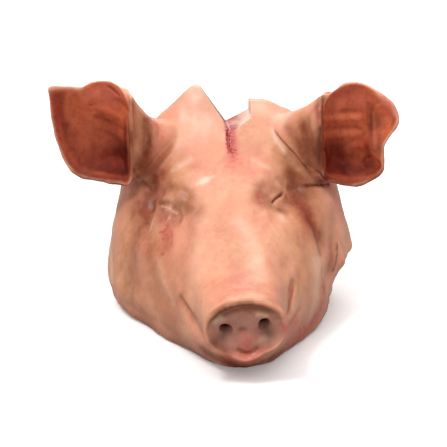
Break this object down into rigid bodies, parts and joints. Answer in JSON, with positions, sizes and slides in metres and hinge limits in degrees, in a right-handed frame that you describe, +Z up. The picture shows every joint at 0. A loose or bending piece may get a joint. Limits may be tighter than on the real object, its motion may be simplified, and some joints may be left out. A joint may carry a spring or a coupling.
{
  "type": "pig head",
  "caption": "Raw pig head cut off behind the ears, resting on its jaw: spread cup-shaped ears, closed eyes, round snout disc, and a nape split down its middle.",
  "frame": {"origin": "on the flat under the jaw that the head rests on, in the middle between the jowls", "axes": "+Z up, the snout points along -Y, +X is the viewer's right when the snout faces the viewer"},
  "size_m": [0.3599, 0.2655, 0.2391],
  "materials": {
    "skin": "raw pale skin, moist, chilled"
  },
  "bodies": {
    "root": {"head": "skin"}
  },
  "joints": []
}
